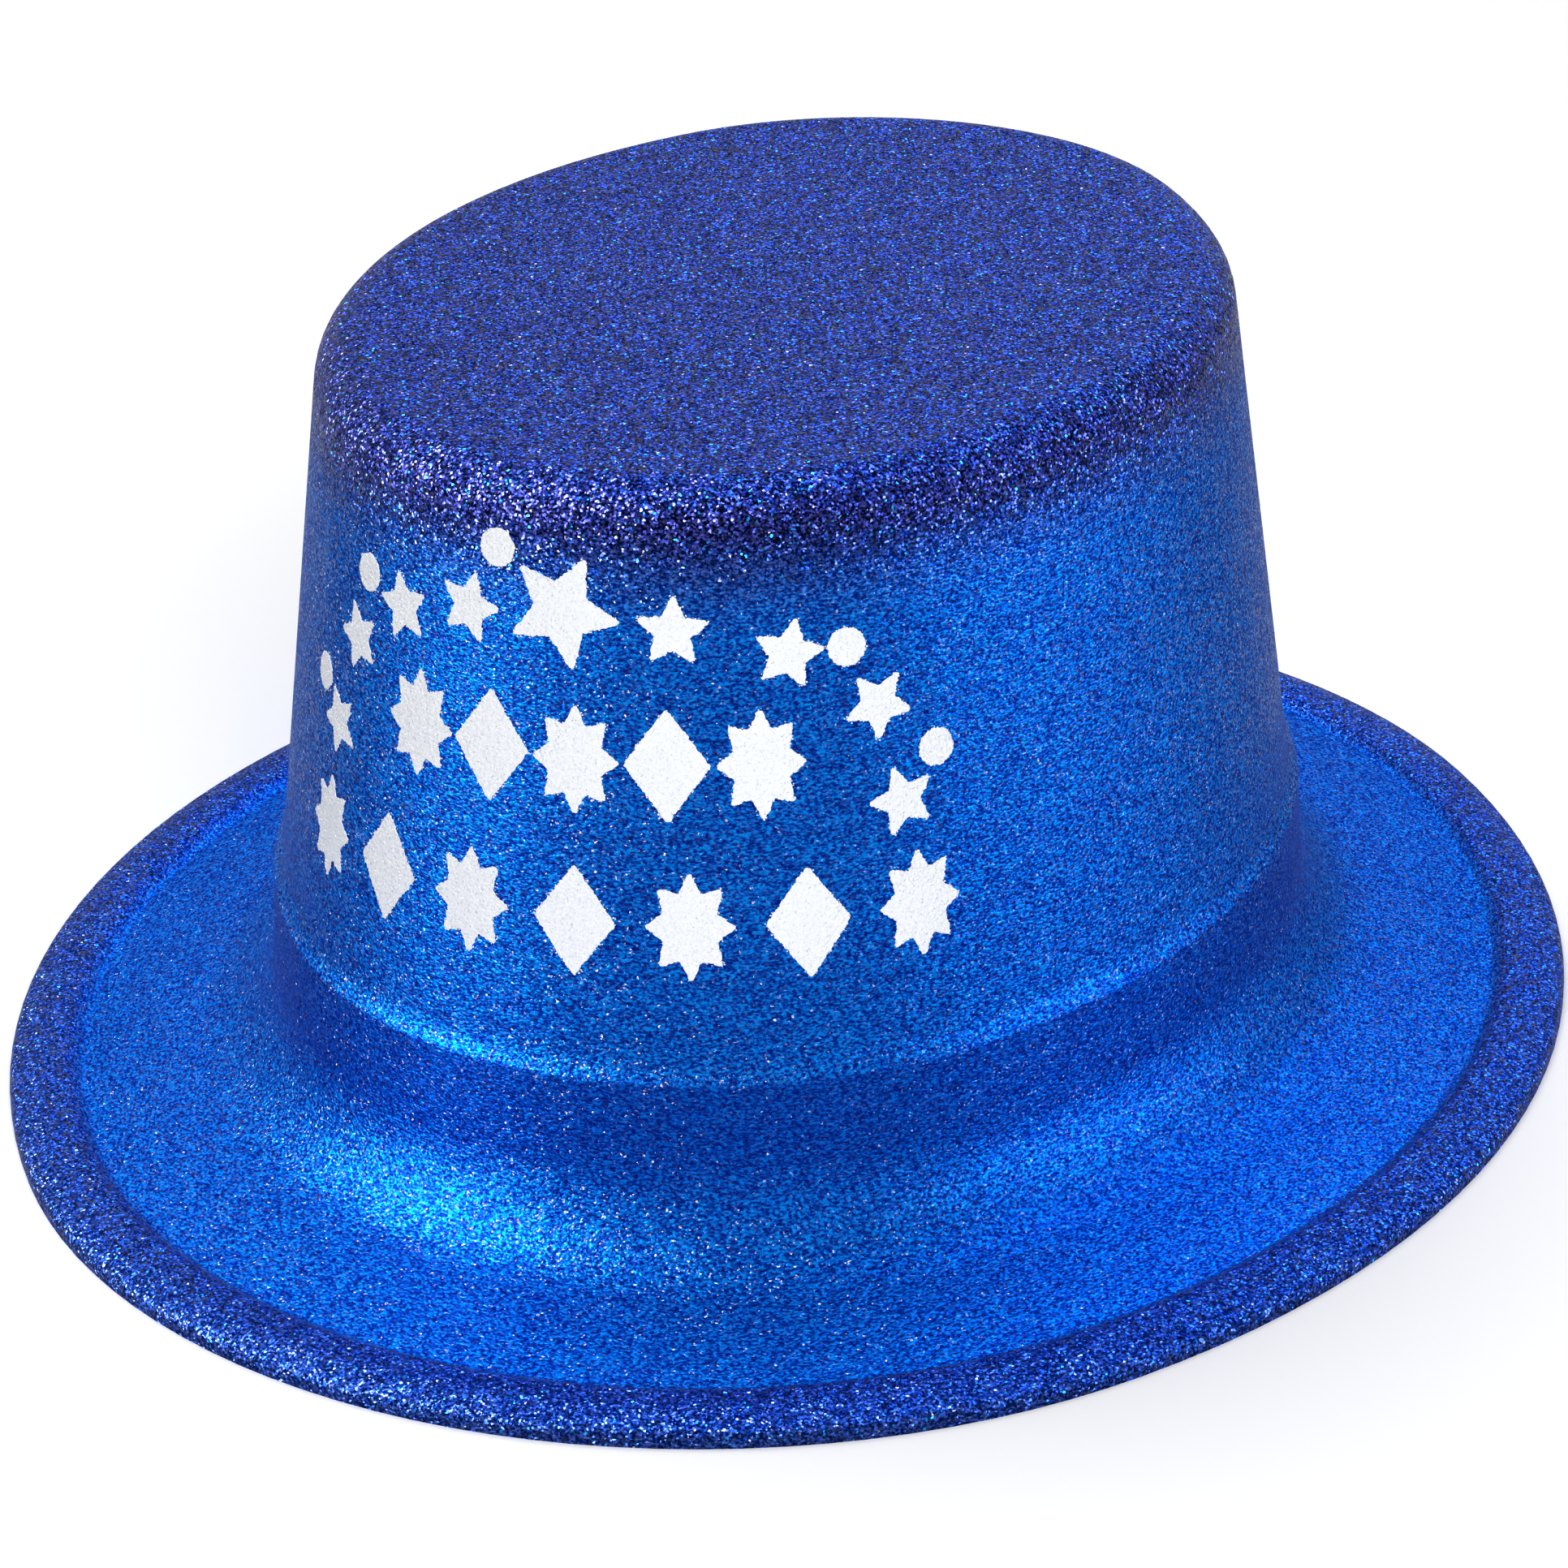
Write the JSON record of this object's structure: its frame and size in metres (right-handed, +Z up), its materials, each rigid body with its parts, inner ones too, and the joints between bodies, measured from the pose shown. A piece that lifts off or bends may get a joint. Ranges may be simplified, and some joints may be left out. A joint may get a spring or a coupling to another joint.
{
  "type": "new year party hat",
  "caption": "Oval formed-plastic party top hat with a blue glitter face, a stepped band line, a curved brim with a raised rim and white star and burst print on the front.",
  "frame": {"origin": "on the table, under the middle of the oval rim", "axes": "+Z up; the printed front of the hat faces -Y; the oval's long axis is Y"},
  "size_m": [0.2586, 0.3, 0.125],
  "materials": {
    "shell_plastic": "smooth formed plastic sheet, satin, faintly dimpled",
    "blue_glitter": "metallic glitter film under clear plastic, finely wrinkled",
    "white_print": "matte screen ink, grainy, with ragged edges"
  },
  "bodies": {
    "root": {"hat_shell": "shell_plastic", "glitter_film": "blue_glitter", "print_burst_1": "white_print", "print_burst_2": "white_print", "print_burst_3": "white_print", "print_burst_4": "white_print", "print_burst_5": "white_print", "print_burst_6": "white_print", "print_burst_7": "white_print", "print_lozenge_1": "white_print", "print_lozenge_2": "white_print", "print_lozenge_3": "white_print", "print_lozenge_4": "white_print", "print_lozenge_5": "white_print", "print_large_star": "white_print", "print_small_star_1": "white_print", "print_small_star_2": "white_print", "print_small_star_3": "white_print", "print_small_star_4": "white_print", "print_small_star_5": "white_print", "print_small_star_6": "white_print", "print_small_star_7": "white_print", "print_small_star_8": "white_print", "print_dot_1": "white_print", "print_dot_2": "white_print", "print_dot_3": "white_print", "print_dot_4": "white_print", "print_dot_5": "white_print"}
  },
  "joints": []
}
